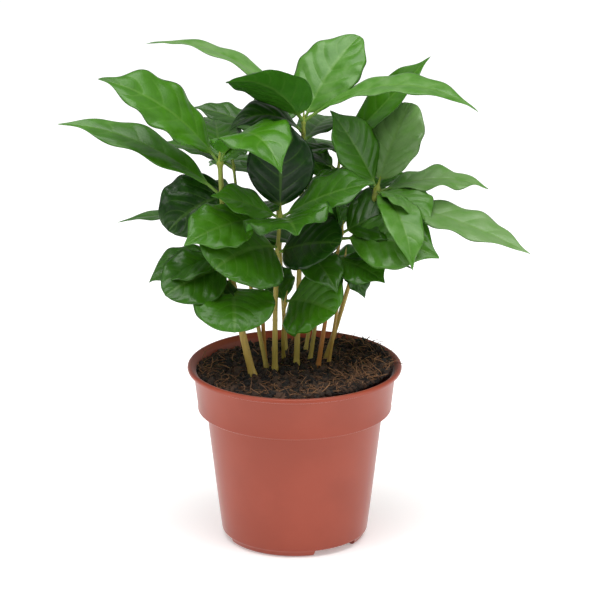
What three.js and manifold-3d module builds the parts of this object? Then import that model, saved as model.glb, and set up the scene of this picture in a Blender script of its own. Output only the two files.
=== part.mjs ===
// A clump of young coffee seedlings growing in a round plastic nursery pot.
// Millimetres, +Z up. The group's origin is on the floor, under the middle of the whole plant.
// In the sizes below the pot's axis is x = 0, y = 0, +X is to the right and +Y is away from the viewer.
import * as THREE from "three";
import { mergeVertices } from "three/addons/utils/BufferGeometryUtils.js";
import Module from "manifold-3d";

const wasm = await Module();
wasm.setup();

// Driving dimensions of the pot
const GAP = 0.3;
const POT = {
  height: 101,
  rimRadius: 60,
  rimDepth: 2.6,
  collarTopRadius: 56.2,
  collarLipRadius: 53.8,
  collarHeight: 25.5,
  wallTopRadius: 49.4,
  wallFootRadius: 40.2,
  footRadius: 37,
  footRing: 4,
  footHeight: 4,
  wall: 1.2,
  floor: 1.3,
  sides: 48,
};
const NOTCH = { count: 3, first: -53, span: 42 };
const DRAIN = { count: 6, circleRadius: 22, radius: 4, sides: 12 };

// Driving dimensions of the soil
const SOIL = { level: 95, edgeRadius: 54, rings: 5, sides: 48, flatRadius: 44, flatCentre: [0, 14] };

// Driving dimensions of stems and leaves
const STEM = { sides: 8, steps: 6, flare: 1.35, tipShare: 0.62 };
const LEAF = {
  around: 8,
  along: 8,
  petioleShare: 0.1,
  petioleWidth: 2.4,
  petioleThick: 2,
  thickShare: 0.014,
};

// Each seedling has a foot on the soil, a top, a height over the soil, the height of its lowest leaves
// and a foot diameter. bow is how far its middle stands off the straight line.
// A leaf has the height of its joint, its heading (0 right, 90 back, 180 left, 270 front), the rise of its
// first part, its droop from root to tip, its length and width, and where they matter its roll, twist,
// sway (all in degrees) and fold (how far each half is raised from flat).
const SEEDLINGS = [
  {
    name: "left", foot: [-23, -7], top: [-41, 0], height: 123, bare: 44, thick: 4.2, bow: [-7, 0],
    leaves: [
      { at: 50, heading: 275, rise: 0, droop: 60, length: 40, width: 38 },
      { at: 58, heading: 218, rise: 0, droop: 20, length: 38, width: 30, roll: -40 },
      { at: 68, heading: 195, rise: 8, droop: 45, length: 48, width: 30, roll: -20 },
      { at: 104, heading: 172, rise: 41, droop: 42, length: 102, width: 27, roll: -6 },
      { at: 122, heading: 187, rise: 56, droop: 42, length: 86, width: 40, roll: -28 },
      { at: 122, heading: 45, rise: 30, droop: 30, length: 25, width: 18 },
      { at: 123, heading: 303, rise: 62, droop: 122, length: 78, width: 42, roll: 8 },
      { at: 123, heading: 95, rise: 35, droop: 40, length: 44, width: 24 },
    ],
  },
  {
    name: "centre", foot: [-11, 3], top: [-8, 0], height: 93, bare: 66, thick: 3.2, bow: [-2, 0],
    leaves: [
      { at: 71, heading: 225, rise: 14, droop: 35, length: 46, width: 42, roll: -38 },
      { at: 71, heading: 330, rise: 25, droop: 20, length: 39, width: 36, roll: 35 },
      { at: 91, heading: 345, rise: 34, droop: 22, length: 60, width: 32, roll: 25 },
      { at: 91, heading: 200, rise: 32, droop: 20, length: 44, width: 27, roll: -25 },
      { at: 93, heading: 85, rise: 80, droop: 10, length: 52, width: 38 },
      { at: 93, heading: 280, rise: 26, droop: 30, length: 58, width: 46, roll: 10 },
    ],
  },
  {
    name: "tall", foot: [1, 11], top: [5, 15], height: 142, bare: 64, thick: 3.2, bow: [0, 2],
    leaves: [
      { at: 70, heading: 300, rise: -5, droop: 35, length: 45, width: 24, roll: 15 },
      { at: 70, heading: 140, rise: 15, droop: 50, length: 44, width: 26 },
      { at: 106, heading: 345, rise: 16, droop: 25, length: 30, width: 22, roll: 20 },
      { at: 104, heading: 150, rise: 30, droop: 40, length: 46, width: 26 },
      { at: 136, heading: 190, rise: 46, droop: 95, length: 47, width: 29, roll: -12 },
      { at: 130, heading: 68, rise: 15, droop: 30, length: 52, width: 26 },
      { at: 142, heading: 160, rise: 49, droop: 63, length: 106, width: 25, roll: 6 },
      { at: 142, heading: 345, rise: 41, droop: 76, length: 108, width: 28, roll: 8 },
      { at: 142, heading: 215, rise: 58, droop: 60, length: 62, width: 44, roll: 25 },
      { at: 142, heading: 45, rise: 57, droop: 32, length: 59, width: 38, roll: 14 },
    ],
  },
  {
    name: "right", foot: [17.5, 23], top: [46, 15], height: 104, bare: 92, thick: 2.8, bow: [1, 0],
    leaves: [
      { at: 98, heading: 335, rise: -5, droop: 16, length: 97, width: 30 },
      { at: 99, heading: 80, rise: 20, droop: 50, length: 48, width: 26 },
      { at: 101, heading: 8, rise: 20, droop: 46, length: 66, width: 25 },
      { at: 103, heading: 172, rise: 66, droop: 15, length: 52, width: 33, roll: -35 },
      { at: 104, heading: 48, rise: 66, droop: 22, length: 56, width: 42 },
      { at: 102, heading: 290, rise: 12, droop: 85, length: 60, width: 36, fold: 20 },
    ],
  },
  {
    name: "low_right", foot: [13, 7], top: [26, 3], height: 82, bare: 58, thick: 2.6, bow: [-1, 0],
    leaves: [
      { at: 66, heading: 325, rise: 0, droop: 30, length: 34, width: 28, roll: 25 },
      { at: 66, heading: 0, rise: 10, droop: 40, length: 44, width: 22 },
      { at: 78, heading: 335, rise: 12, droop: 34, length: 61, width: 38, roll: 40 },
      { at: 82, heading: 185, rise: 82, droop: 10, length: 24, width: 18 },
      { at: 82, heading: 120, rise: 50, droop: 30, length: 26, width: 20 },
    ],
  },
  {
    name: "back_right", foot: [8.5, 18], top: [26, 34], height: 121, bare: 80, thick: 2.4, bow: [0, 2],
    leaves: [
      { at: 86, heading: 20, rise: 20, droop: 50, length: 60, width: 28 },
      { at: 108, heading: 150, rise: 35, droop: 40, length: 44, width: 26 },
      { at: 108, heading: 40, rise: 25, droop: 50, length: 60, width: 28 },
      { at: 121, heading: 7, rise: 46, droop: 0, length: 72, width: 24, roll: 30, fold: 20 },
      { at: 121, heading: 195, rise: 10, droop: 40, length: 32, width: 20 },
      { at: 116, heading: 95, rise: 10, droop: 50, length: 60, width: 28 },
    ],
  },
  {
    name: "back_left", foot: [-15.5, 5.5], top: [-34, 28], height: 112, bare: 74, thick: 2.4, bow: [-3, 0],
    leaves: [
      { at: 80, heading: 165, rise: 10, droop: 30, length: 74, width: 24 },
      { at: 92, heading: 135, rise: 20, droop: 50, length: 50, width: 26 },
      { at: 104, heading: 202, rise: 5, droop: 45, length: 44, width: 36, roll: -35 },
      { at: 112, heading: 174, rise: 30, droop: 30, length: 46, width: 22 },
      { at: 112, heading: 110, rise: 40, droop: 50, length: 54, width: 26 },
    ],
  },
  {
    name: "low_left", foot: [-16.5, 15], top: [-18, 1], height: 90, bare: 60, thick: 2.4, bow: [-2, 0],
    leaves: [
      { at: 68, heading: 85, rise: 15, droop: 40, length: 32, width: 20 },
      { at: 88, heading: 222, rise: 5, droop: 25, length: 50, width: 30, roll: -30 },
      { at: 88, heading: 92, rise: 15, droop: 40, length: 44, width: 24 },
    ],
  },
  {
    name: "small", foot: [-6, 20], top: [-5, 8], height: 40, bare: 30, thick: 2, bow: [-2, 0],
    leaves: [
      { at: 38, heading: 297, rise: 5, droop: 30, length: 40, width: 36, roll: 45 },
      { at: 38, heading: 120, rise: 50, droop: 30, length: 32, width: 24 },
    ],
  },
  {
    name: "back", foot: [-5, 36], top: [-12, 52], height: 122, bare: 56, thick: 2.4, bow: [0, 3],
    leaves: [
      { at: 62, heading: 160, rise: 15, droop: 50, length: 60, width: 28 },
      { at: 62, heading: 70, rise: 15, droop: 60, length: 50, width: 28 },
      { at: 94, heading: 130, rise: 25, droop: 60, length: 64, width: 30 },
      { at: 122, heading: 85, rise: 30, droop: 60, length: 64, width: 30 },
      { at: 122, heading: 178, rise: 32, droop: 25, length: 50, width: 24, roll: -15 },
    ],
  },
  {
    name: "far_right", foot: [6, 36], top: [22, 54], height: 92, bare: 44, thick: 2.2, bow: [0, 3],
    leaves: [
      { at: 50, heading: 20, rise: 15, droop: 50, length: 56, width: 28 },
      { at: 50, heading: 110, rise: 10, droop: 60, length: 48, width: 28 },
      { at: 76, heading: 80, rise: 20, droop: 60, length: 60, width: 30 },
      { at: 72, heading: 5, rise: 20, droop: 45, length: 56, width: 28 },
      { at: 92, heading: 35, rise: 35, droop: 55, length: 60, width: 30 },
      { at: 92, heading: 130, rise: 40, droop: 60, length: 54, width: 28 },
    ],
  },
  {
    name: "side", foot: [19, 13], top: [28, 12], height: 64, bare: 44, thick: 2, bow: [0, 0],
    leaves: [
      { at: 62, heading: 320, rise: -40, droop: 25, length: 24, width: 19 },
      { at: 50, heading: 150, rise: 25, droop: 40, length: 20, width: 14 },
    ],
  },
];

const radians = THREE.MathUtils.degToRad;
const COLOURS = { pot: 0xa8583f, soil: 0x2c1c12, stem: 0x9a9440, leaf: 0x2f6a1e };

// A closed three.js geometry as a manifold solid.
function solidOf(geometry) {
  const bare = geometry.clone();
  bare.deleteAttribute("normal");
  bare.deleteAttribute("uv");
  const merged = mergeVertices(bare, 1e-3);
  const mesh = new wasm.Mesh({
    numProp: 3,
    vertProperties: merged.attributes.position.array,
    triVerts: new Uint32Array(merged.index.array),
  });
  return new wasm.Manifold(mesh);
}

// A manifold solid as a three.js geometry.
function geometryOf(solid) {
  const mesh = solid.getMesh();
  const geometry = new THREE.BufferGeometry();
  geometry.setAttribute("position", new THREE.BufferAttribute(mesh.vertProperties, 3));
  geometry.setIndex(new THREE.BufferAttribute(mesh.triVerts, 1));
  geometry.computeVertexNormals();
  return geometry;
}

// Moves each point of a geometry by a rule.
function reshape(geometry, rule) {
  const places = geometry.attributes.position;
  const point = new THREE.Vector3();
  for (let i = 0; i < places.count; i++) {
    const moved = rule(point.fromBufferAttribute(places, i));
    places.setXYZ(i, moved.x, moved.y, moved.z);
  }
  return geometry;
}

// A profile of [radius, height] pairs turned about the Z axis.
function turned(profile, sides) {
  const points = profile.map(([radius, height]) => new THREE.Vector2(radius, height));
  return new THREE.LatheGeometry(points, sides).rotateX(Math.PI / 2);
}

// Pot
const POT_INSIDE = POT.footHeight + POT.floor;
const LIP_HEIGHT = POT.height - POT.collarHeight;

function potProfile() {
  const inFoot = POT.footRadius - POT.footRing;
  return [
    [0, POT.footHeight],
    [inFoot, POT.footHeight],
    [inFoot, 0],
    [POT.footRadius, 0],
    [POT.footRadius + 1.7, 0.7],
    [POT.wallFootRadius - 0.4, 2],
    [POT.wallFootRadius + 0.2, POT.footHeight + 0.5],
    [POT.wallTopRadius, LIP_HEIGHT],
    [POT.collarLipRadius - 0.4, LIP_HEIGHT],
    [POT.collarLipRadius, LIP_HEIGHT + 0.5],
    [POT.collarTopRadius, POT.height - POT.rimDepth],
    [POT.rimRadius - 0.5, POT.height - POT.rimDepth],
    [POT.rimRadius, POT.height - 1.4],
    [POT.rimRadius - 0.6, POT.height - 0.2],
    [POT.rimRadius - 1.4, POT.height],
    [POT.rimRadius - 2.8, POT.height - 0.5],
    [POT.collarTopRadius - POT.wall, POT.height - POT.rimDepth],
    [POT.collarLipRadius - POT.wall, LIP_HEIGHT + 1.2],
    [POT.wallTopRadius - POT.wall, LIP_HEIGHT - 0.6],
    [POT.wallFootRadius - POT.wall + 0.2, POT_INSIDE + 2],
    [POT.wallFootRadius - POT.wall - 1.8, POT_INSIDE],
    [0, POT_INSIDE],
  ];
}

// The gap between two feet, as a block that reaches out from the pot's axis.
function notch(heading) {
  const half = POT.footRadius * Math.tan(radians(NOTCH.span / 2));
  const reach = POT.footRadius + 12;
  const outline = new THREE.Shape([
    new THREE.Vector2(-half - 0.8, -1),
    new THREE.Vector2(half + 0.8, -1),
    new THREE.Vector2(half - 1.6, POT.footHeight),
    new THREE.Vector2(-half + 1.6, POT.footHeight),
  ]);
  const block = new THREE.ExtrudeGeometry(outline, { depth: reach, bevelEnabled: false });
  block.rotateX(Math.PI / 2).rotateZ(radians(heading + 90));
  return block;
}

function potSolid() {
  let pot = solidOf(turned(potProfile(), POT.sides));
  for (let i = 0; i < NOTCH.count; i++) {
    pot = pot.subtract(solidOf(notch(NOTCH.first + (360 / NOTCH.count) * i)));
  }
  for (let i = 0; i < DRAIN.count; i++) {
    const around = radians((360 / DRAIN.count) * i + NOTCH.first);
    const drill = new THREE.CylinderGeometry(DRAIN.radius, DRAIN.radius, 4 * POT.floor, DRAIN.sides);
    drill.rotateX(Math.PI / 2);
    drill.translate(
      DRAIN.circleRadius * Math.cos(around),
      DRAIN.circleRadius * Math.sin(around),
      POT.footHeight + POT.floor / 2,
    );
    pot = pot.subtract(solidOf(drill));
  }
  return pot;
}

// Soil
// The soil lies flat round the stems' feet and is heaped towards the rim, most of all at the right and back.
function soilHeight(x, y) {
  const [cx, cy] = SOIL.flatCentre;
  const reach = Math.hypot(x - cx, y - cy);
  const off = THREE.MathUtils.smoothstep(reach, SOIL.flatRadius - 10, SOIL.flatRadius + 8);
  const heap = 1.4 + 2.2 * Math.cos(Math.atan2(y, x) - radians(15));
  const lumps = 1.1 * Math.sin(0.21 * x + 0.4) * Math.sin(0.17 * y);
  return SOIL.level + off * (heap + lumps);
}

function soilSolid() {
  const bottom = POT_INSIDE + GAP;
  const profile = [
    [0, bottom],
    [POT.wallFootRadius - POT.wall - 1.8 - GAP, bottom],
    [POT.wallFootRadius - POT.wall + 0.2 - GAP, bottom + 2],
    [POT.wallTopRadius - POT.wall - GAP, LIP_HEIGHT - 0.6 + GAP],
    [POT.collarLipRadius - POT.wall - GAP, LIP_HEIGHT + 1.2 + GAP],
  ];
  for (let ring = 0; ring <= SOIL.rings; ring++) {
    profile.push([SOIL.edgeRadius * (1 - ring / SOIL.rings), SOIL.level]);
  }
  const lathe = turned(profile, SOIL.sides);
  reshape(lathe, (p) => (p.z > SOIL.level - 1 ? p.setZ(soilHeight(p.x, p.y)) : p));
  return solidOf(lathe);
}

// Stems
// A seedling's centre line: t is 0 at the soil and 1 at the top, and height goes evenly with t.
function stemPoint(seedling, t) {
  const [fx, fy] = seedling.foot;
  const [tx, ty] = seedling.top;
  const swell = 2 * t * (1 - t);
  const x = fx + (tx - fx) * t + seedling.bow[0] * swell;
  const y = fy + (ty - fy) * t + seedling.bow[1] * swell;
  return new THREE.Vector3(x, y, SOIL.level + GAP + seedling.height * t);
}

function stemRadius(seedling, t) {
  const flare = 1 + (STEM.flare - 1) * Math.max(0, 1 - (t * seedling.height) / 5);
  return (seedling.thick / 2) * (1 - (1 - STEM.tipShare) * t) * flare;
}

// One tapering round length of stem, from t0 to t1, with flat level ends.
function stemSolid(seedling, t0, t1) {
  const tube = new THREE.CylinderGeometry(1, 1, 1, STEM.sides, STEM.steps);
  reshape(tube, (p) => {
    const t = t0 + (t1 - t0) * (p.y + 0.5);
    const radius = stemRadius(seedling, t);
    const centre = stemPoint(seedling, t);
    return centre.add(new THREE.Vector3(p.x * radius, -p.z * radius, 0));
  });
  return solidOf(tube);
}

// Leaves
// Width along a coffee leaf, from 0 at the blade's root to 0 at its drawn-out tip, 1 at the widest.
function outline(b) {
  const body = Math.pow(Math.sin(Math.PI * Math.pow(b, 0.92)), 0.85);
  const tip = 1 - 0.55 * THREE.MathUtils.smoothstep(b, 0.72, 0.95);
  return body * tip;
}

// A leaf's midrib as a row of stations, each with its place, its way across and its upward normal.
function midrib(seedling, leaf) {
  const steps = 4 * LEAF.along;
  const place = stemPoint(seedling, leaf.at / seedling.height);
  const stations = [];
  for (let i = 0; i <= steps; i++) {
    const s = i / steps;
    const rise = radians(leaf.rise - leaf.droop * Math.pow(s, 1.25));
    const heading = radians(leaf.heading + (leaf.sway ?? 0) * s);
    const along = new THREE.Vector3(
      Math.cos(heading) * Math.cos(rise),
      Math.sin(heading) * Math.cos(rise),
      Math.sin(rise),
    );
    const across = new THREE.Vector3(-Math.sin(heading), Math.cos(heading), 0);
    across.applyAxisAngle(along, radians((leaf.roll ?? 0) + (leaf.twist ?? 0) * s));
    const up = new THREE.Vector3().crossVectors(along, across);
    if (i % 4 === 0) stations.push({ place: place.clone(), across, up });
    place.addScaledVector(along, leaf.length / steps);
  }
  return stations;
}

// A leaf blade on its stalk: a ball drawn out along the midrib and pressed flat.
function leafSolid(seedling, leaf) {
  const stations = midrib(seedling, leaf);
  const ball = new THREE.SphereGeometry(1, LEAF.around, LEAF.along);
  reshape(ball, (p) => {
    const u = Math.acos(THREE.MathUtils.clamp(p.y, -1, 1)) / Math.PI;
    const station = stations[Math.round(u * LEAF.along)];
    const round = Math.hypot(p.x, p.z) || 1;
    const side = p.x / round;
    const face = p.z / round;
    const blade = Math.max(0, (u - LEAF.petioleShare) / (1 - LEAF.petioleShare));
    const closed = u < 1e-6 || u > 1 - 1e-6;
    const half = closed ? 0 : Math.max(LEAF.petioleWidth, leaf.width * outline(blade)) / 2;
    const stout = Math.max(leaf.length * LEAF.thickShare, LEAF.petioleThick * (1 - 4 * blade));
    const thick = closed ? 0 : stout / 2;
    const fold = radians(leaf.fold ?? 10);
    return station.place
      .clone()
      .addScaledVector(station.across, side * half * Math.cos(fold))
      .addScaledVector(station.up, Math.abs(side) * half * Math.sin(fold) + face * thick);
  });
  return solidOf(ball);
}

// The leafy upper part of a seedling: the rest of its stem with the leaves' stalks sunk into it.
function crownSolid(seedling) {
  let crown = stemSolid(seedling, (seedling.bare + GAP) / seedling.height, 1 + 2 / seedling.height);
  for (const leaf of seedling.leaves) crown = crown.add(leafSolid(seedling, leaf));
  return crown;
}

// Assembly
const plant = new THREE.Group();

function addPart(name, solid, colour, roughness) {
  const material = new THREE.MeshStandardMaterial({ color: colour, roughness, metalness: 0 });
  const mesh = new THREE.Mesh(geometryOf(solid), material);
  mesh.name = name;
  plant.add(mesh);
}

addPart("pot", potSolid(), COLOURS.pot, 0.45);
addPart("soil", soilSolid(), COLOURS.soil, 0.95);
for (const seedling of SEEDLINGS) {
  const bareStem = stemSolid(seedling, 0, seedling.bare / seedling.height);
  addPart("stem_" + seedling.name, bareStem, COLOURS.stem, 0.7);
  addPart("leaves_" + seedling.name, crownSolid(seedling), COLOURS.leaf, 0.35);
}

const middle = new THREE.Box3().setFromObject(plant).getCenter(new THREE.Vector3());
plant.position.set(-middle.x, -middle.y, 0);

export default plant;
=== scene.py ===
# %% [markdown]
# A clump of young coffee plants in a terracotta-coloured nursery pot.
# The CAD model gives the frame: its pot, soil, stems and leafy masses are loaded first, and every new
# piece is fitted to them. Sizes below are in millimetres from the pot's axis and are turned into metres
# only when a mesh is made, because a plant is easier to think about in millimetres.

import math

import bpy
import numpy as np
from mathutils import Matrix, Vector


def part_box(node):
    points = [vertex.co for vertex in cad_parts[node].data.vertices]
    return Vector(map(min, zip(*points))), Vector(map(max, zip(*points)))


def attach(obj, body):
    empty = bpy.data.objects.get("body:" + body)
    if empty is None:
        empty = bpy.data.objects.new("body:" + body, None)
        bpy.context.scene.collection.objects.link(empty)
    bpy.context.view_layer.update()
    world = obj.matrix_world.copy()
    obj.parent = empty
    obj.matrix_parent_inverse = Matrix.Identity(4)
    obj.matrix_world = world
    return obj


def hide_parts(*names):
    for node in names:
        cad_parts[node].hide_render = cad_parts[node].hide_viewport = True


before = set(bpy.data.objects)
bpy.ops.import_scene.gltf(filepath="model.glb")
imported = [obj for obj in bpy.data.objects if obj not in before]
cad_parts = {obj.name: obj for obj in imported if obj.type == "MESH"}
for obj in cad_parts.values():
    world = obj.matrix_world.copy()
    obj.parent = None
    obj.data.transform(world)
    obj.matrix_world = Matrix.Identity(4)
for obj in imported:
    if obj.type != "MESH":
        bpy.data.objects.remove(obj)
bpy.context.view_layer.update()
pot_low, pot_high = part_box("pot")
MM = 0.001
AXIS = np.array([(pot_low[0] + pot_high[0]) / 2, (pot_low[1] + pot_high[1]) / 2, 0.0])
chance = np.random.default_rng(12)

# %% [markdown]
# Most pieces are made either with operators, as by hand, or from arrays of points where hundreds of small
# things are joined. These helpers keep both ways short: one clears the selection, because operators act
# on all that is selected, and one turns arrays into a mesh object that stands at the origin.

# %% Helpers for pieces


def clear_selection():
    bpy.ops.object.select_all(action="DESELECT")


def piece_from_arrays(name, points, quads, caps=()):
    """A smooth mesh object from points in millimetres round the pot's axis, quads and end caps."""
    faces = [tuple(q) for q in quads] + [tuple(c) for c in caps]
    mesh = bpy.data.meshes.new(name)
    mesh.from_pydata((np.asarray(points) * MM + AXIS).tolist(), [], faces)
    mesh.polygons.foreach_set("use_smooth", [True] * len(mesh.polygons))
    mesh.update()
    piece = bpy.data.objects.new(name, mesh)
    bpy.context.scene.collection.objects.link(piece)
    return piece


def give(piece, slot, material, *nodes):
    """Joins a finished piece to the frame: it rides on the root and stands for its CAD nodes."""
    piece.data.materials.clear()
    piece.data.materials.append(material)
    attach(piece, "root")
    if nodes:
        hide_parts(*nodes)
    return piece


def face_values(piece, name, values):
    """Stores one number for each face, which a material can read by name."""
    layer = piece.data.attributes.new(name, "FLOAT", "FACE")
    layer.data.foreach_set("value", np.asarray(values, dtype=np.float32))


def point_values(piece, name, values):
    """Stores one number for each point, which a material can read by name."""
    layer = piece.data.attributes.new(name, "FLOAT", "POINT")
    layer.data.foreach_set("value", np.asarray(values, dtype=np.float32))


def apply_modifier(piece, modifier):
    clear_selection()
    piece.select_set(True)
    bpy.context.view_layer.objects.active = piece
    bpy.ops.object.modifier_apply(modifier=modifier.name)


# %% [markdown]
# Materials are small node trees. The helper adds a node, sets its values and joins its inputs, so that a
# tree reads as a list of steps. Numbers that are the same all over stay on the shader's own sockets.

# %% Helpers for materials


def new_material(name, **sockets):
    """A material and its Principled shader, with plain values set on the shader."""
    material = bpy.data.materials.new(name)
    material.use_nodes = True
    shader = material.node_tree.nodes["Principled BSDF"]
    for socket, value in sockets.items():
        shader.inputs[socket.replace("_", " ")].default_value = value
    return material, shader


def add_node(material, kind, values=None, links=None, **settings):
    """Adds a node; values and links go by input name or number."""
    node = material.node_tree.nodes.new(kind)
    for setting, value in settings.items():
        setattr(node, setting, value)
    for key, value in (values or {}).items():
        node.inputs[key].default_value = value
    for key, source in (links or {}).items():
        material.node_tree.links.new(source, node.inputs[key])
    return node


def sum_of(material, operation, first, second=None, third=None, clamp=False):
    """A Math node on numbers or sockets; returns its result."""
    values, links = {}, {}
    for place, item in enumerate((first, second, third)):
        if item is None:
            continue
        if isinstance(item, (int, float)):
            values[place] = item
        else:
            links[place] = item
    node = add_node(material, "ShaderNodeMath", values, links, operation=operation, use_clamp=clamp)
    return node.outputs[0]


def blend_colours(material, share, first, second):
    """Mixes two colours, each a plain colour or a socket, by a share."""
    node = add_node(material, "ShaderNodeMix", data_type="RGBA")
    sockets = {0: share, 6: first, 7: second}
    for place, item in sockets.items():
        if isinstance(item, (int, float)):
            node.inputs[place].default_value = item
        elif isinstance(item, tuple):
            node.inputs[place].default_value = (*item, 1)
        else:
            material.node_tree.links.new(item, node.inputs[place])
    return node.outputs[2]


def ramp(material, source, low, high):
    """0 below low, 1 above high and smooth between."""
    node = add_node(
        material,
        "ShaderNodeMapRange",
        {1: low, 2: high},
        {0: source},
        interpolation_type="SMOOTHSTEP",
    )
    return node.outputs[0]


def join(material, source, shader, socket):
    material.node_tree.links.new(source, shader.inputs[socket])


def bump(material, shader, height, strength, distance):
    node = add_node(
        material, "ShaderNodeBump", {"Strength": strength, "Distance": distance}, {"Height": height}
    )
    join(material, node.outputs[0], shader, "Normal")


# %% [markdown]
# The pot is a thin moulded shell: a foot ring, a sloping wall, a wider collar and a curled rim.
# It could be a solid of revolution from a curve; here one ring of edges is extruded and scaled again
# and again up the outside, over the rim and down the inside, which is how it is done by hand.

# %% Draw the pot up from its foot
POT_SIDES = 160
POT_FOOT = [(33, 4), (33, 0.5), (33.5, 0), (36.8, 0), (38, 0.3), (38.9, 0.9), (39.5, 1.8), (39.9, 3.2)]
POT_WALL = [(40.5, 3.8), (41, 4.3), (41.2, 5.2), (43.4, 23), (45.5, 41), (47.6, 59), (49.4, 74.8), (49.5, 75.4)]
POT_COLLAR = [(53.4, 75.4), (54, 75.5), (54.3, 75.8), (54.4, 76.3), (54.2, 77), (55.4, 87), (56.6, 97.6), (56.9, 98.2)]
POT_RIM = [(59.2, 98.4), (59.8, 98.7), (60, 99.3), (59.9, 100), (59.5, 100.6), (58.9, 101), (58.1, 101)]
POT_INSIDE = [(57.4, 100.5), (56.4, 99.4), (55.2, 98.2), (52.7, 77), (52.1, 76.2), (48.5, 75), (48.2, 74.4)]
POT_FLOOR = [(39.2, 7.6), (38.4, 6.2), (37.2, 5.4), (20, 5.3)]


def draw_up(rings):
    """Extrudes the chosen ring of edges through each next radius and height."""
    for (radius, height), (next_radius, next_height) in zip(rings, rings[1:]):
        step = (0, 0, (next_height - height) * MM)
        bpy.ops.mesh.extrude_region_move(TRANSFORM_OT_translate={"value": step})
        grow = next_radius / radius
        bpy.ops.transform.resize(value=(grow, grow, 1))


pot_rings = POT_FOOT + POT_WALL + POT_COLLAR + POT_RIM + POT_INSIDE + POT_FLOOR
clear_selection()
bpy.ops.mesh.primitive_circle_add(
    vertices=POT_SIDES,
    radius=pot_rings[0][0] * MM,
    fill_type="NOTHING",
    location=(AXIS[0], AXIS[1], pot_rings[0][1] * MM),
)
pot = bpy.context.object
pot.name = "pot_shell"
bpy.ops.object.mode_set(mode="EDIT")
bpy.ops.mesh.select_all(action="SELECT")
draw_up(pot_rings)
bpy.ops.mesh.edge_face_add()
bpy.ops.object.mode_set(mode="OBJECT")
bpy.ops.object.transform_apply(location=True, rotation=True, scale=True)
print("pot rings:", len(pot_rings), "points:", len(pot.data.vertices))

# %% [markdown]
# The first ring is still open: it is the underside of the pot's floor. It is found by its place, not by
# hand, and closed with a face. Then the normals are made to point out.

# %% Close the underside


def choose(piece, kind, test):
    """Opens a piece in edit mode with only those edges or faces selected that pass a test."""
    clear_selection()
    piece.select_set(True)
    bpy.context.view_layer.objects.active = piece
    bpy.ops.object.mode_set(mode="EDIT")
    bpy.context.tool_settings.mesh_select_mode = (False, kind == "edges", kind == "polygons")
    bpy.ops.mesh.select_all(action="DESELECT")
    bpy.ops.object.mode_set(mode="OBJECT")
    for item in getattr(piece.data, kind):
        item.select = test(item)
    bpy.ops.object.mode_set(mode="EDIT")


def is_first_ring(edge):
    ends = [pot.data.vertices[i].co for i in edge.vertices]
    reach = [math.hypot(e.x - AXIS[0], e.y - AXIS[1]) for e in ends]
    return all(abs(e.z - 4 * MM) < 1e-6 for e in ends) and max(reach) < 33.01 * MM


choose(pot, "edges", is_first_ring)
bpy.ops.mesh.edge_face_add()
bpy.ops.mesh.select_all(action="SELECT")
bpy.ops.mesh.normals_make_consistent(inside=False)
bpy.ops.object.mode_set(mode="OBJECT")
print("pot faces:", len(pot.data.polygons))

# %% [markdown]
# Three gaps in the foot ring let water run off, and the floor has drain holes. Both are cut with boolean
# modifiers from plain blocks and cylinders, which are deleted afterwards.

# %% Cut the foot gaps and the drain holes
FOOT_GAPS = {"count": 3, "first": -53, "width": 28, "height": 3.9}
DRAIN = {"count": 6, "circle": 22, "radius": 4}


def cut_from_pot(cutter):
    cut = pot.modifiers.new("cut", "BOOLEAN")
    cut.object = cutter
    cut.operation = "DIFFERENCE"
    cut.solver = "EXACT"
    apply_modifier(pot, cut)
    bpy.data.objects.remove(cutter)


for k in range(FOOT_GAPS["count"]):
    turn = math.radians(FOOT_GAPS["first"] + 360 / FOOT_GAPS["count"] * k)
    out = np.array([math.cos(turn), math.sin(turn), 0]) * 42 * MM + AXIS
    clear_selection()
    bpy.ops.mesh.primitive_cube_add(size=1, location=out.tolist(), rotation=(0, 0, turn))
    block = bpy.context.object
    block.scale = (24 * MM, FOOT_GAPS["width"] * MM, 2 * FOOT_GAPS["height"] * MM)
    bpy.ops.object.transform_apply(location=True, rotation=True, scale=True)
    cut_from_pot(block)
for k in range(DRAIN["count"]):
    turn = math.radians(FOOT_GAPS["first"] + 360 / DRAIN["count"] * k)
    out = np.array([math.cos(turn), math.sin(turn), 0.2]) * DRAIN["circle"] * MM + AXIS
    clear_selection()
    bpy.ops.mesh.primitive_cylinder_add(
        vertices=24, radius=DRAIN["radius"] * MM, depth=8 * MM, location=out.tolist()
    )
    drill = bpy.context.object
    bpy.ops.object.transform_apply(location=True, rotation=True, scale=True)
    cut_from_pot(drill)
clear_selection()
pot.select_set(True)
bpy.context.view_layer.objects.active = pot
bpy.ops.object.shade_smooth_by_angle(angle=math.radians(40))
print("pot after cutting:", len(pot.data.polygons), "faces")

# %% [markdown]
# The plastic is a satin terracotta red. Its colour is almost even; a slow noise makes it a little uneven,
# as recycled plastic is, and a fine bump gives the moulded skin. Sheen pales the edges of the round wall.

# %% Terracotta plastic
plastic, plastic_shader = new_material(
    "terracotta_plastic", Roughness=0.42, IOR=1.46, Sheen_Weight=0.45, Sheen_Roughness=0.3
)
place = add_node(plastic, "ShaderNodeTexCoord")
clouds = add_node(plastic, "ShaderNodeTexNoise", {"Scale": 35, "Detail": 4}, {"Vector": place.outputs["Object"]})
tint = ramp(plastic, clouds.outputs[0], 0.35, 0.65)
colour = blend_colours(plastic, tint, (0.29, 0.044, 0.018), (0.32, 0.051, 0.022))
high = add_node(plastic, "ShaderNodeSeparateXYZ", None, {0: place.outputs["Object"]}).outputs[2]
lip = ramp(plastic, high, 0.1002, 0.1009)
join(plastic, blend_colours(plastic, lip, colour, (0.26, 0.035, 0.009)), plastic_shader, "Base Color")
skin = add_node(plastic, "ShaderNodeTexNoise", {"Scale": 1400, "Detail": 2}, {"Vector": place.outputs["Object"]})
bump(plastic, plastic_shader, skin.outputs[0], 0.06, 0.0004)
give(pot, "pot_plastic", plastic, "pot")
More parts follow.
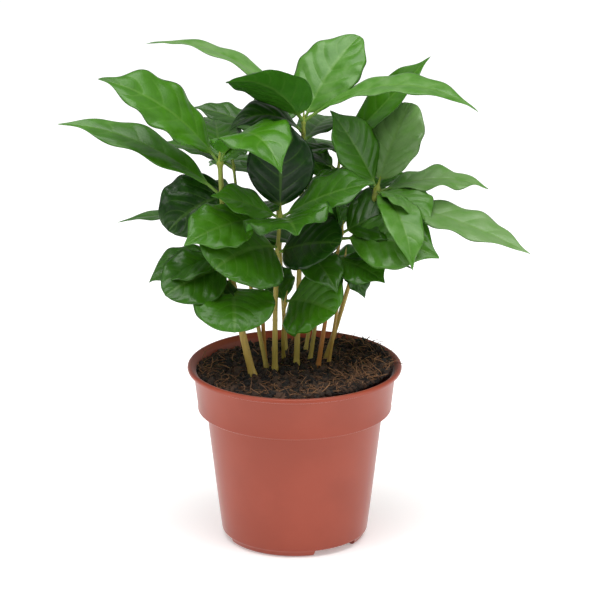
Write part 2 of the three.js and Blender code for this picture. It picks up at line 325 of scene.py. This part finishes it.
print("pot is dressed")

# %% [markdown]
# The soil is dark potting mix with crumbs and coir fibres. Its ground is a cylinder whose top is inset into
# rings, so that there are points to lift; each point then follows the same heaping rule as the CAD soil.

# %% Ground under the crumbs
SOIL_LEVEL = 95
SOIL_EDGE = 54.4
SOIL_MIDDLE = (0, 14)


def soft_step(x, low, high):
    t = np.clip((x - low) / (high - low), 0, 1)
    return t * t * (3 - 2 * t)


def soil_height(x, y):
    """The soil is level round the stems and heaped towards the rim, least at the back left."""
    reach = np.hypot(x - SOIL_MIDDLE[0], y - SOIL_MIDDLE[1])
    off = soft_step(reach, 34, 52)
    heap = 1.4 + 2.2 * np.cos(np.arctan2(y, x) - math.radians(15))
    lumps = 1.1 * np.sin(0.21 * x + 0.4) * np.sin(0.17 * y)
    crumble = 0.5 * np.sin(0.9 * x + 1.3 * y) * np.sin(1.1 * y - 0.7 * x)
    hollow = np.clip(np.cos(np.arctan2(y, x) - math.radians(118)), 0, 1) ** 2
    edge = soft_step(np.hypot(x, y), 40, 54) * (3.4 - 4.2 * hollow)
    return np.minimum(SOIL_LEVEL + off * (heap + lumps) + edge + crumble, 101.3)


clear_selection()
bpy.ops.mesh.primitive_cylinder_add(
    vertices=96, radius=SOIL_EDGE * MM, depth=14 * MM, location=(AXIS[0], AXIS[1], 88 * MM)
)
ground = bpy.context.object
ground.name = "soil_ground"
bpy.ops.object.transform_apply(location=True, rotation=True, scale=True)
choose(ground, "polygons", lambda face: face.normal.z > 0.9)
for k in range(24):
    bpy.ops.mesh.inset(thickness=2.2 * MM)
bpy.ops.object.mode_set(mode="OBJECT")
for point in ground.data.vertices:
    x, y = (point.co.x - AXIS[0]) / MM, (point.co.y - AXIS[1]) / MM
    if point.co.z > 90 * MM:
        point.co.z = float(soil_height(x, y)) * MM
    else:
        point.co.x = AXIS[0] + x * 0.6 * MM
        point.co.y = AXIS[1] + y * 0.6 * MM
print("ground points:", len(ground.data.vertices))

# %% [markdown]
# Crumbs are hundreds of small lumps. One lump is an icosphere with a few dozen faces; each copy is squeezed
# and turned by chance, and all of them are joined into one mesh from arrays, which is far quicker than
# thousands of objects. A number on each face says how pale its crumb is.

# %% Crumbs
CRUMBS = 7000
clear_selection()
bpy.ops.mesh.primitive_ico_sphere_add(subdivisions=1, radius=1)
lump = bpy.context.object
lump_points = np.array([v.co[:] for v in lump.data.vertices])
lump_faces = np.array([p.vertices[:] for p in lump.data.polygons])
bpy.data.objects.remove(lump)


def random_turn():
    """A random rotation as a 3 by 3 array."""
    q, r = np.linalg.qr(chance.normal(size=(3, 3)))
    return q * np.sign(np.diag(r))


def on_soil(reach_share):
    """A random place on the soil's top."""
    turn = chance.uniform(0, 2 * math.pi)
    reach = SOIL_EDGE * math.sqrt(chance.uniform(0, reach_share))
    return reach * math.cos(turn), reach * math.sin(turn)


points, faces, tones = [], [], []
for k in range(CRUMBS):
    x, y = on_soil(1)
    size = 0.5 + 1.9 * chance.uniform() ** 2.2
    inward = min(1, (55.4 - size) / math.hypot(x, y))
    x, y = x * inward, y * inward
    shape = lump_points * (1 + 0.25 * chance.normal(size=(len(lump_points), 1)))
    shape = (shape * size * chance.uniform(0.6, 1.3, 3)) @ random_turn()
    middle = np.array([x, y, float(soil_height(x, y)) + size * chance.uniform(-0.2, 0.7)])
    faces.append(lump_faces + len(points) * len(lump_points))
    points.append(shape + middle)
    tones.append(np.full(len(lump_faces), chance.uniform() ** 2))
crumbs = piece_from_arrays("soil_crumbs", np.concatenate(points), np.concatenate(faces))
crumbs.data.polygons.foreach_set("use_smooth", [False] * len(crumbs.data.polygons))
face_values(crumbs, "tone", np.concatenate(tones))
print("crumbs:", CRUMBS, "faces:", len(crumbs.data.polygons))

# %% [markdown]
# Coir fibres are thin bent hairs, tan against the dark soil. Each is a four-sided tube along a random arc.
# Most lie on the soil; many at the right and near the edge rise more steeply, and a few stand up over the rim at the
# right.

# %% Fibres
FIBRES = 3400
TUBE_SIDES = 4


def tube(path, radii, sides):
    """Rings round a path: points, side faces and end caps."""
    path = np.asarray(path)
    ahead = np.gradient(path, axis=0)
    ahead /= np.linalg.norm(ahead, axis=1, keepdims=True)
    prop = np.array([0.3, 0.2, 1.0]) if abs(ahead[:, 2]).mean() < 0.7 else np.array([1.0, 0.2, 0.1])
    side = np.cross(ahead, prop)
    side /= np.linalg.norm(side, axis=1, keepdims=True)
    other = np.cross(ahead, side)
    turn = np.linspace(0, 2 * math.pi, sides, endpoint=False)
    ring = np.cos(turn)[None, :, None] * side[:, None] + np.sin(turn)[None, :, None] * other[:, None]
    rings = path[:, None] + ring * np.asarray(radii)[:, None, None]
    count = len(path)
    index = np.arange(count * sides).reshape(count, sides)
    after = np.roll(index, -1, axis=1)
    quads = np.stack([index[:-1], index[1:], after[1:], after[:-1]], axis=-1).reshape(-1, 4)
    caps = [tuple(index[0]), tuple(index[-1][::-1])]
    return rings.reshape(-1, 3), quads, caps


def fibre_path(x, y, length, heading, rise, bend):
    """A bent hair that starts in the soil."""
    spot = np.array([x, y, float(soil_height(x, y)) + 0.4])
    path = [spot]
    for step in range(6):
        flat = math.radians(heading + bend * step)
        lift = math.radians(rise - 9 * step)
        way = np.array([math.cos(flat) * math.cos(lift), math.sin(flat) * math.cos(lift), math.sin(lift)])
        spot = spot + way * length / 6
        path.append(spot)
    return path


points, quads, caps, tones, total = [], [], [], [], 0
for k in range(FIBRES):
    x, y = on_soil(0.97)
    length = chance.uniform(3, 12)
    rise = chance.normal(12, 16)
    if (x > 22 or math.hypot(x, y) > 47) and chance.uniform() < 0.5:
        rise += 30
    path = np.array(fibre_path(x, y, length, chance.uniform(0, 360), rise, chance.normal(0, 16)))
    reach = np.hypot(path[:, 0], path[:, 1])
    if ((reach > 54.3) & (path[:, 2] < 102)).any():
        continue
    floor = soil_height(path[:, 0], path[:, 1]) + 0.15
    path[:, 2] = np.maximum(path[:, 2], floor)
    width = chance.uniform(0.13, 0.32)
    ring, sides, ends = tube(path, np.linspace(width, width * 0.5, len(path)), TUBE_SIDES)
    points.append(ring)
    quads.append(sides + total)
    caps += [tuple(i + total for i in cap) for cap in ends]
    tones.append(chance.uniform())
    total += len(ring)
fibres = piece_from_arrays("soil_fibres", np.concatenate(points), np.concatenate(quads), caps)
side_tones = np.repeat(tones, [len(q) for q in quads])
face_values(fibres, "tone", np.concatenate([side_tones, np.repeat(tones, 2)]))
print("fibres:", len(tones), "faces:", len(fibres.data.polygons))

# %% [markdown]
# Soil, crumbs and fibres share one kind of material: a colour between two browns, chosen by the number on
# each face. Only the two colours differ, so a function makes all three.

# %% Potting mix colours


def earth(name, dark, pale, roughness):
    material, shader = new_material(name, Roughness=roughness)
    tone = add_node(material, "ShaderNodeAttribute", attribute_name="tone", attribute_type="GEOMETRY")
    spot = add_node(material, "ShaderNodeTexCoord")
    grain = add_node(material, "ShaderNodeTexNoise", {"Scale": 900, "Detail": 5}, {"Vector": spot.outputs["Object"]})
    mixed = sum_of(material, "MULTIPLY_ADD", grain.outputs[0], 0.5, tone.outputs["Fac"])
    share = ramp(material, mixed, 0.2, 1.2)
    join(material, blend_colours(material, share, dark, pale), shader, "Base Color")
    bump(material, shader, grain.outputs[0], 0.6, 0.001)
    return material


face_values(ground, "tone", chance.uniform(0, 0.4, len(ground.data.polygons)))
give(ground, "potting_soil", earth("soil_dark", (0.006, 0.004, 0.003), (0.022, 0.012, 0.007), 0.95), "soil")
give(crumbs, "potting_soil", earth("soil_crumb", (0.006, 0.004, 0.003), (0.065, 0.033, 0.018), 0.9))
give(fibres, "potting_soil", earth("coir_fibre", (0.04, 0.016, 0.007), (0.27, 0.13, 0.055), 0.8))
print("soil is dressed")

# %% [markdown]
# Each seedling has a foot in the soil, a top and a height, and its leaves sit in pairs up the stem.
# A leaf is described by the height of its joint, its heading (0 right, 90 back, 180 left, 270 front), the
# rise of its first part, its droop from root to tip, its length and width, and where needed its roll about
# the midrib and the fold of its two halves. The same rule gave the CAD masses, so both keep to one space.

# %% The seedlings


def leaf(at, heading, rise, droop, length, width, roll=0, fold=10, tone=None, broad=0, wave=1):
    return {
        "at": at,
        "heading": heading,
        "rise": rise,
        "droop": droop,
        "length": length,
        "width": width,
        "roll": roll,
        "fold": fold,
        "tone": tone,
        "broad": broad,
        "wave": wave,
    }


def seedling(name, foot, top, height, bare, thick, bow, warm, *leaves):
    return {
        "name": name,
        "foot": foot,
        "top": top,
        "height": height,
        "bare": bare,
        "thick": thick,
        "bow": bow,
        "warm": warm,
        "leaves": leaves,
    }


# Each leaf's tone is partly its own lightness of green and partly painted light: it is set low for leaves that sit in
# shadow and high for upper leaves that catch the overhead lamp, which turns them to a painted grey sheen.
SEEDLINGS = [
    seedling(
        "left", (-23, -7), (-41, 0), 123, 44, 4.2, (-7, 0), 0.25,
        leaf(52, 272, 5, 62, 40, 46, broad=1, wave=0.7, tone=0.55),
        leaf(64, 215, -2, 22, 44, 36, roll=-40, broad=0.7, tone=0.35),
        leaf(56, 240, -5, 30, 30, 30, roll=-30, broad=0.8, tone=0.1),
        leaf(68, 195, 8, 45, 48, 30, roll=-20),
        leaf(104, 172, 41, 42, 102, 29, roll=-14, tone=0.66, wave=1.8),
        leaf(122, 187, 56, 42, 86, 42, roll=-28, tone=0.6, wave=1.2),
        leaf(122, 45, 30, 30, 25, 18),
        leaf(123, 303, 62, 122, 78, 42, roll=8, tone=0.6),
        leaf(123, 95, 35, 40, 44, 24),
    ),
    seedling(
        "centre", (-11, 3), (-8, 0), 93, 66, 3.2, (-2, 0), 0.0,
        leaf(74, 228, 16, 38, 52, 56, roll=-38, tone=0.45, broad=1, wave=0.5),
        leaf(71, 330, 25, 20, 42, 40, roll=35, tone=0.1, broad=0.8, wave=0.5),
        leaf(91, 345, 34, 22, 60, 36, roll=25, tone=0.45),
        leaf(91, 200, 32, 20, 44, 28, roll=-25, tone=0.6),
        leaf(93, 85, 80, 10, 52, 38, tone=0.0, broad=0.4, wave=0.5),
        leaf(90, 280, 22, 30, 58, 50, roll=10, wave=1.6, tone=0.4),
    ),
    seedling(
        "tall", (1, 11), (5, 15), 142, 64, 3.2, (0, 2), 0.0,
        leaf(70, 300, -5, 35, 45, 24, roll=15),
        leaf(70, 140, 15, 50, 44, 26),
        leaf(106, 345, 16, 25, 30, 22, roll=20),
        leaf(104, 150, 30, 40, 46, 26),
        leaf(136, 190, 46, 95, 47, 29, roll=-12, tone=0.1),
        leaf(130, 68, 15, 30, 52, 26),
        leaf(142, 160, 49, 63, 106, 26, roll=6, tone=0.8, wave=1.4),
        leaf(142, 345, 41, 76, 108, 28, roll=8, tone=0.74, wave=1.3),
        leaf(142, 215, 58, 60, 62, 46, roll=25, tone=0.3, broad=0.5, wave=0.5),
        leaf(142, 45, 57, 32, 61, 40, roll=14, tone=0.72, broad=0.5),
    ),
    seedling(
        "right", (17.5, 23), (46, 15), 104, 92, 2.8, (1, 0), 0.2,
        leaf(98, 335, -5, 16, 97, 32, roll=8, tone=0.9, wave=1.8),
        leaf(99, 80, 20, 50, 48, 26),
        leaf(101, 8, 20, 46, 66, 27, roll=10, tone=0.85, wave=1.6),
        leaf(103, 172, 66, 15, 52, 33, roll=-35),
        leaf(104, 48, 66, 22, 52, 42, tone=0.95, broad=0.7, wave=0.5),
        leaf(102, 292, 6, 85, 66, 24, fold=20, tone=0.75),
        leaf(101, 318, 15, 70, 44, 30, fold=16, tone=0.75),
    ),
    seedling(
        "low_right", (13, 7), (26, 3), 82, 58, 2.6, (-1, 0), 1.0,
        leaf(66, 325, 0, 30, 34, 28, roll=25),
        leaf(66, 0, 10, 40, 44, 22),
        leaf(78, 335, 12, 34, 61, 40, roll=40, tone=0.7, wave=0.5),
        leaf(81, 12, 28, 30, 44, 40, roll=30, tone=0.35, broad=0.5),
        leaf(82, 185, 82, 10, 24, 18),
        leaf(82, 120, 50, 30, 26, 20),
    ),
    seedling(
        "back_right", (8.5, 18), (26, 34), 121, 80, 2.4, (0, 2), 0.0,
        leaf(86, 20, 20, 50, 60, 28),
        leaf(108, 150, 35, 40, 44, 26),
        leaf(108, 40, 25, 50, 60, 28),
        leaf(121, 7, 46, 0, 72, 24, roll=30, fold=20),
        leaf(121, 195, 10, 40, 32, 20),
        leaf(116, 95, 10, 50, 60, 28),
    ),
    seedling(
        "back_left", (-15.5, 5.5), (-34, 28), 112, 74, 2.4, (-3, 0), 0.0,
        leaf(80, 165, 10, 30, 74, 24),
        leaf(92, 135, 20, 50, 50, 26),
        leaf(98, 204, -4, 42, 46, 44, roll=-35, tone=0.12, broad=0.8, wave=1.5),
        leaf(112, 174, 30, 30, 46, 22),
        leaf(112, 110, 40, 50, 54, 26),
    ),
    seedling(
        "low_left", (-16.5, 15), (-18, 1), 90, 60, 2.4, (-2, 0), 0.8,
        leaf(68, 85, 15, 40, 32, 20),
        leaf(91, 220, 6, 25, 56, 34, roll=-30, tone=0.62),
        leaf(88, 92, 15, 40, 44, 24),
    ),
    seedling(
        "small", (-6, 20), (-5, 8), 40, 30, 2, (-2, 0), 0.0,
        leaf(40, 312, 18, 30, 42, 46, roll=45, tone=0.6, broad=0.8),
        leaf(38, 120, 50, 30, 32, 24),
    ),
    seedling(
        "back", (-5, 36), (-12, 52), 122, 56, 2.4, (0, 3), 0.0,
        leaf(62, 160, 15, 50, 60, 28),
        leaf(62, 70, 15, 60, 50, 28),
        leaf(94, 130, 25, 60, 64, 30),
        leaf(122, 85, 30, 60, 64, 30),
        leaf(122, 178, 32, 25, 50, 24, roll=-15),
    ),
    seedling(
        "far_right", (6, 36), (22, 54), 92, 44, 2.2, (0, 3), 0.0,
        leaf(50, 20, 15, 50, 56, 28),
        leaf(50, 110, 10, 60, 48, 28),
        leaf(76, 80, 20, 60, 60, 30),
        leaf(72, 5, 20, 45, 56, 28),
        leaf(92, 35, 35, 55, 60, 30),
        leaf(92, 130, 40, 60, 54, 28),
    ),
    seedling(
        "side", (19, 13), (28, 12), 64, 44, 2, (0, 0), 0.4,
        leaf(62, 320, -40, 25, 24, 19),
        leaf(50, 150, 25, 40, 20, 14),
    ),
]
print("seedlings:", len(SEEDLINGS), "leaves:", sum(len(s["leaves"]) for s in SEEDLINGS))

# %% [markdown]
# A stem is a long thin tube that flares at the root, tapers upwards and swells at each pair of leaves.
# Fine ridges run along it. It could be a bevelled curve; rings of points are used so that the ridges and
# swellings are real shape, and a number on each point says how far up the stem it is, for the colour.

# %% Stems
STEM_FOOT = SOIL_LEVEL + 0.3
STEM_SIDES = 24


def stem_point(plant, t):
    """The stem's middle: t is 0 at the soil and 1 at the top."""
    t = np.asarray(t, dtype=float)
    swell = 2 * t * (1 - t)
    x = plant["foot"][0] + (plant["top"][0] - plant["foot"][0]) * t + plant["bow"][0] * swell
    y = plant["foot"][1] + (plant["top"][1] - plant["foot"][1]) * t + plant["bow"][1] * swell
    return np.stack([x, y, STEM_FOOT + plant["height"] * t], axis=-1)


def stem_radius(plant, t):
    high = np.maximum(t, 0) * plant["height"]
    flare = 1 + 0.35 * np.maximum(0, 1 - high / 5)
    radius = plant["thick"] / 2 * (1 - 0.38 * np.maximum(t, 0)) * flare
    for height in {item["at"] for item in plant["leaves"]}:
        radius = radius + 0.45 * np.exp(-(((high - height) / 1.6) ** 2))
    joints = np.arange(14, plant["bare"], 17)
    for height in joints:
        radius = radius + 0.12 * np.exp(-(((high - height) / 0.7) ** 2))
    bud = np.clip((t - 1) * plant["height"] / 7, 0, 1)
    return radius * (1 - bud) ** 0.7 + 0.03


def stem_arrays(plant):
    count = int(plant["height"] * 1.1) + 10
    t = np.linspace(-2.5 / plant["height"], 1 + 7 / plant["height"], count)
    path = stem_point(plant, t)
    points, quads, caps = tube(path, stem_radius(plant, t), STEM_SIDES)
    turn = np.tile(np.arange(STEM_SIDES), count)
    along = np.repeat(np.arange(count), STEM_SIDES)
    ridge = 0.05 * np.sin(turn * 2.1 + 0.13 * along) * np.sin(turn * 0.8 + 0.05 * along)
    out = points - np.repeat(path, STEM_SIDES, axis=0)
    out /= np.linalg.norm(out, axis=1, keepdims=True) + 1e-9
    return points + out * ridge[:, None], quads, caps, np.repeat(t * plant["height"], STEM_SIDES)


stems = {}
for plant in SEEDLINGS:
    points, quads, caps, climb = stem_arrays(plant)
    stems[plant["name"]] = piece_from_arrays("seedling_stem_" + plant["name"], points, quads, caps)
    point_values(stems[plant["name"]], "climb", climb)
    face_values(stems[plant["name"]], "warm", np.full(len(quads) + len(caps), plant["warm"]))
print("stems:", len(stems))

# %% [markdown]
# Young coffee stems are straw-brown near the soil and turn yellow-green, then green, towards the leaves.
# The colour follows the height stored on the points, with streaks along the stem from stretched noise.

# %% Stem bark
bark, bark_shader = new_material("green_bark", Roughness=0.5)
height = add_node(bark, "ShaderNodeAttribute", attribute_name="climb", attribute_type="GEOMETRY")
warm = add_node(bark, "ShaderNodeAttribute", attribute_name="warm", attribute_type="GEOMETRY")
spot = add_node(bark, "ShaderNodeTexCoord")
stretch = add_node(bark, "ShaderNodeMapping", {"Scale": (900, 900, 70)}, {"Vector": spot.outputs["Object"]})
streak = add_node(bark, "ShaderNodeTexNoise", {"Scale": 1, "Detail": 5}, {"Vector": stretch.outputs[0]})
low = blend_colours(bark, warm.outputs["Fac"], (0.43, 0.33, 0.06), (0.40, 0.16, 0.03))
high = blend_colours(bark, ramp(bark, height.outputs["Fac"], 40, 110), low, (0.23, 0.29, 0.03))
dark = blend_colours(bark, ramp(bark, streak.outputs[0], 0.52, 0.85), high, (0.15, 0.09, 0.02))
join(bark, dark, bark_shader, "Base Color")
bump(bark, bark_shader, streak.outputs[0], 0.35, 0.0006)
for name, stem in stems.items():
    give(stem, "green_stem", bark, "stem_" + name)
print("stems are dressed")

# %% [markdown]
# A coffee leaf is a thin glossy blade: long oval, drawn out to a tip, sunken along the midrib and the side
# veins, puffed up between them, and wavy at the edge. It is made as a grid that follows a bent midrib:
# one grid for the top and one for the underside, sharing their edges, so that the leaf is a closed shell.

# %% Leaf shape
leaf_chance = np.random.default_rng(31)
LEAF_ROWS = 64
LEAF_COLS = 24
STALK_SHARE = 0.1
VEINS = 6


def leaf_outline(b, broad):
    """Half width along the blade: a drawn-out tip, or a rounder one for broad seed leaves."""
    body = np.power(np.sin(np.pi * np.power(np.clip(b, 0, 1), 0.92)), 0.85)
    drawn = body * (1 - 0.55 * soft_step(b, 0.72, 0.95))
    round_body = np.sqrt(np.clip(4 * b * (1 - b), 0, 1)) ** 0.9
    return drawn * (1 - broad) + round_body * broad


def midrib(plant, item):
    """Places along the midrib with the ways along, across and up."""
    fine = LEAF_ROWS * 4
    s = np.linspace(0, 1, fine + 1)
    rise = np.radians(item["rise"] - item["droop"] * s**1.25)
    heading = math.radians(item["heading"])
    flat = np.cos(rise)
    along = np.stack([math.cos(heading) * flat, math.sin(heading) * flat, np.sin(rise)], axis=-1)
    steps = (along[1:] + along[:-1]) / 2 * item["length"] / fine
    start = stem_point(plant, item["at"] / plant["height"])
    path = np.concatenate([[start], start + np.cumsum(steps, axis=0)])
    level = np.broadcast_to(np.array([-math.sin(heading), math.cos(heading), 0]), along.shape)
    roll = math.radians(item["roll"])
    across = level * math.cos(roll) + np.cross(along, level) * math.sin(roll)
    up = np.cross(along, across)
    return path[::4], across[::4], up[::4]


def vein_place(item, b, side):
    """Whole numbers fall on the side veins, which run forward at some forty degrees."""
    lean = item["width"] / item["length"] * 0.5
    return VEINS * (b - lean * (0.55 * side + 0.45 * side**2))


def leaf_arrays(plant, item):
    path, across, up = midrib(plant, item)
    u = np.linspace(0, 1, LEAF_ROWS + 1)[:, None]
    v = np.linspace(-1, 1, LEAF_COLS + 1)[None, :]
    side = np.abs(v)
    b = np.clip((u - STALK_SHARE) / (1 - STALK_SHARE), 0, 1)
    blade = soft_step(b, 0.0, 0.12)
    stalk = 0.95 - 0.25 * soft_step(u, 0, STALK_SHARE)
    half = np.maximum(stalk * (1 - soft_step(b, 0.9, 1.0)), item["width"] / 2 * leaf_outline(b, item["broad"])) + 0.02
    fold = math.radians(item["fold"])
    wave_size = item["wave"] * item["width"] * leaf_chance.uniform(0.02, 0.045)
    waves = leaf_chance.uniform(2.8, 4.4)
    shift = leaf_chance.uniform(0, 6.28, 2)
    ripple = np.where(v < 0, np.sin(6.28 * waves * b + shift[0]), np.sin(6.28 * waves * b + shift[1]))
    ripple = wave_size * ripple * side**2.4 * np.sin(np.pi * b) ** 0.6
    rank = vein_place(item, b, side) + np.where(v < 0, 0.18, 0) * side**0.2
    puff = np.abs(np.sin(np.pi * rank)) ** 0.8
    puff = 0.06 * half * puff * np.sqrt(np.clip(1 - side**3, 0, 1)) * side**0.4 * blade
    groove = np.exp(-((v * half / 0.9) ** 2)) * blade
    curl = -0.10 * half * side**3 * blade
    lift = (side**1.25) * half * math.sin(fold) * blade + curl + ripple + puff
    thick = (0.34 + 0.7 * groove * (1 - 0.75 * b)) * (1 - side**8)
    stout = 1.7 * np.sqrt(np.clip(1 - side**2, 0, 1))
    thick = stout * (1 - blade) + thick * blade
    thick = thick * (1 - 0.9 * soft_step(b, 0.94, 1))
    flat = path[:, None] + across[:, None] * (v * half * math.cos(fold * 0.8))[..., None]
    top = flat + up[:, None] * (lift - 0.3 * groove + thick * 0.4)[..., None]
    under = flat + up[:, None] * (lift - 0.3 * groove - thick * 0.6)[..., None]
    return top, under, np.broadcast_to(u, rank.shape), np.broadcast_to(v, rank.shape), rank


def leaf_mesh(plant, item):
    """Points, quads, caps, map places and side marks of one closed leaf."""
    top, under, u, v, rank = leaf_arrays(plant, item)
    rows, cols = top.shape[:2]
    index = np.arange(rows * cols).reshape(rows, cols)
    inner = rows * cols + np.arange(rows * (cols - 2)).reshape(rows, cols - 2)
    below = np.concatenate([index[:, :1], inner, index[:, -1:]], axis=1)
    points = np.concatenate([top.reshape(-1, 3), under[:, 1:-1].reshape(-1, 3)])
    marks = np.stack([u, v, rank], axis=-1)
    maps = np.concatenate([marks.reshape(-1, 3), marks[:, 1:-1].reshape(-1, 3)])

    def quads(grid):
        return np.stack([grid[:-1, :-1], grid[1:, :-1], grid[1:, 1:], grid[:-1, 1:]], axis=-1).reshape(-1, 4)

    upper, lower = quads(index), quads(below)[:, ::-1]
    ends = [tuple(below[0]) + tuple(index[0, 1:-1][::-1]), tuple(index[-1]) + tuple(below[-1, 1:-1][::-1])]
    return points, np.concatenate([upper, lower]), ends, maps, len(upper)


# %% Grow the leaves of each seedling
crowns = {}
for plant in SEEDLINGS:
    points, quads, caps, maps, tones, unders, total = [], [], [], [], [], [], 0
    cap_tones = []
    for item in plant["leaves"]:
        p, q, c, m, upper = leaf_mesh(plant, item)
        tone = item["tone"] if item["tone"] is not None else leaf_chance.uniform(0.25, 0.6)
        points.append(p)
        quads.append(q + total)
        caps += [tuple(i + total for i in cap) for cap in c]
        maps.append(m)
        tones.append(np.full(len(q), tone))
        cap_tones += [tone] * len(c)
        unders.append(np.concatenate([np.zeros(upper), np.ones(len(q) - upper)]))
        total += len(p)
    crown = piece_from_arrays("seedling_leaves_" + plant["name"], np.concatenate(points), np.concatenate(quads), caps)
    face_values(crown, "tone", np.concatenate(tones + [cap_tones]))
    face_values(crown, "under", np.concatenate(unders + [np.zeros(len(caps))]))
    marks = np.concatenate(maps)
    point_values(crown, "reach", marks[:, 0])
    point_values(crown, "across", marks[:, 1])
    point_values(crown, "rank", marks[:, 2])
    crowns[plant["name"]] = crown
print("leaf faces:", sum(len(c.data.polygons) for c in crowns.values()))

# %% [markdown]
# The leaf's colour comes from numbers stored on its points: how far along and across a spot lies, and its
# place between the side veins. From these the tree finds the midrib and the veins, which are paler. It also
# reads each leaf's tone, which is partly its own lightness and partly painted shade and painted sheen, and
# whether the face is on the underside, which is made brighter as painted light shining through the blade.

# %% Leaf green
green, green_shader = new_material("coffee_leaf", IOR=1.42)


def leaf_mark(name):
    """A number stored on the leaf, by its name."""
    return add_node(green, "ShaderNodeAttribute", attribute_name=name, attribute_type="GEOMETRY").outputs["Fac"]


reach, rank = leaf_mark("reach"), leaf_mark("rank")
side = sum_of(green, "ABSOLUTE", leaf_mark("across"))
turned = sum_of(green, "FRACT", sum_of(green, "ADD", rank, 0.5))
near = sum_of(green, "ABSOLUTE", sum_of(green, "SUBTRACT", turned, 0.5))
vein = sum_of(green, "SUBTRACT", 1.0, ramp(green, near, 0.01, 0.11))
vein = sum_of(green, "MULTIPLY", vein, sum_of(green, "SUBTRACT", 1.0, ramp(green, side, 0.4, 0.95)))
rib = sum_of(green, "SUBTRACT", 1.0, ramp(green, side, 0.02, 0.075))
tone, under = leaf_mark("tone"), leaf_mark("under")
spot = add_node(green, "ShaderNodeTexCoord").outputs["Object"]
mottle = add_node(green, "ShaderNodeTexNoise", {"Scale": 130, "Detail": 4}, {"Vector": spot}).outputs[0]
tone_and_painted_light = sum_of(green, "MULTIPLY_ADD", sum_of(green, "SUBTRACT", mottle, 0.5), 0.5, tone, clamp=True)
# Painted light: the dark end of the top green is painted shade for leaves that sit in shadow, and as the tone rises
# from 0.62 to 1 the top turns to a pale grey-green that is a painted sheen of the overhead lamp.
top_green_and_painted_light = blend_colours(green, tone_and_painted_light, (0.004, 0.027, 0.002), (0.066, 0.24, 0.004))
top_green_and_painted_light = blend_colours(green, ramp(green, tone_and_painted_light, 0.62, 1.0), top_green_and_painted_light, (0.14, 0.26, 0.08))
# The underside green is brighter than the top: painted light shining through the blade.
underside_painted_glow = blend_colours(green, tone_and_painted_light, (0.020, 0.115, 0.002), (0.060, 0.24, 0.006))
face_colour = blend_colours(green, under, top_green_and_painted_light, underside_painted_glow)
lines = sum_of(green, "MAXIMUM", sum_of(green, "MULTIPLY", vein, 0.16), sum_of(green, "MULTIPLY", rib, 0.32))
veined = blend_colours(green, lines, face_colour, (0.14, 0.28, 0.05))
stalk = sum_of(green, "SUBTRACT", 1.0, ramp(green, reach, 0.07, 0.16))
join(green, blend_colours(green, stalk, veined, (0.13, 0.24, 0.03)), green_shader, "Base Color")
gloss = sum_of(green, "MULTIPLY_ADD", under, 0.2, 0.26)
join(green, sum_of(green, "MULTIPLY_ADD", mottle, 0.12, gloss), green_shader, "Roughness")
fine = add_node(green, "ShaderNodeTexNoise", {"Scale": 700, "Detail": 3}, {"Vector": spot}).outputs[0]
relief = sum_of(green, "MULTIPLY_ADD", vein, -0.6, fine)
bump(green, green_shader, relief, 0.25, 0.0004)
for name, crown in crowns.items():
    give(crown, "leaf", green, "leaves_" + name)
print("leaves are dressed")

# %% [markdown]
# The studio is a wide white floor under a white sky, with one large soft lamp overhead and two at the
# sides. The floor belongs to the stage, not to the plant.

# %% Floor and lamps
clear_selection()
bpy.ops.mesh.primitive_plane_add(size=12, location=(0, 0, 0))
floor = bpy.context.object
floor.name = "studio_floor"
paper, paper_shader = new_material("white_paper", Roughness=0.9, Base_Color=(0.93, 0.93, 0.93, 1), Emission_Color=(1, 1, 1, 1), Emission_Strength=0.27)
floor.data.materials.append(paper)
sky = bpy.data.worlds.new("white_sky")
sky.use_nodes = True
sky.node_tree.nodes["Background"].inputs["Color"].default_value = (1, 1, 1, 1)
sky.node_tree.nodes["Background"].inputs["Strength"].default_value = 0.38
bpy.context.scene.world = sky


def soft_lamp(name, place, size, watts):
    """A square area lamp that faces the plant's middle."""
    lamp = bpy.data.lights.new(name, "AREA")
    lamp.size = size
    lamp.energy = watts
    holder = bpy.data.objects.new(name, lamp)
    bpy.context.scene.collection.objects.link(holder)
    spot = Vector(place) + Vector(AXIS.tolist())
    aim = Vector((AXIS[0], AXIS[1], 0.15)) - spot
    holder.location = spot
    holder.rotation_euler = aim.to_track_quat("-Z", "Y").to_euler()
    return holder


soft_lamp("lamp_over", (0, -0.15, 1.7), 1.6, 32)
soft_lamp("lamp_left", (-1.5, -0.9, 0.8), 1.2, 8)
soft_lamp("lamp_right", (1.5, -0.7, 0.8), 1.2, 8)
print("floor and lamps are set")

# %% [markdown]
# The camera looks slightly down on the pot from far off with a long lens, which keeps the perspective as
# flat as in the photograph. The lens follows from the picture's width and the distance.

# %% Camera
VIEW_DOWN = math.radians(18.5)
VIEW_FAR = 2.2
VIEW_AIM = (0.003, 0.0, 0.1385)
LENS_SHARE = 3953 / 600
eye = bpy.data.cameras.new("eye")
eye.sensor_width = 36
eye.lens = 36 * LENS_SHARE
eye.clip_end = 50
camera = bpy.data.objects.new("eye", eye)
bpy.context.scene.collection.objects.link(camera)
camera.location = (
    AXIS[0] + VIEW_AIM[0],
    AXIS[1] + VIEW_AIM[1] - VIEW_FAR * math.cos(VIEW_DOWN),
    VIEW_AIM[2] + VIEW_FAR * math.sin(VIEW_DOWN),
)
camera.rotation_euler = (math.pi / 2 - VIEW_DOWN, 0, 0)
bpy.context.scene.camera = camera
bpy.context.scene.view_settings.view_transform = "Standard"
print("camera lens:", round(eye.lens, 1))
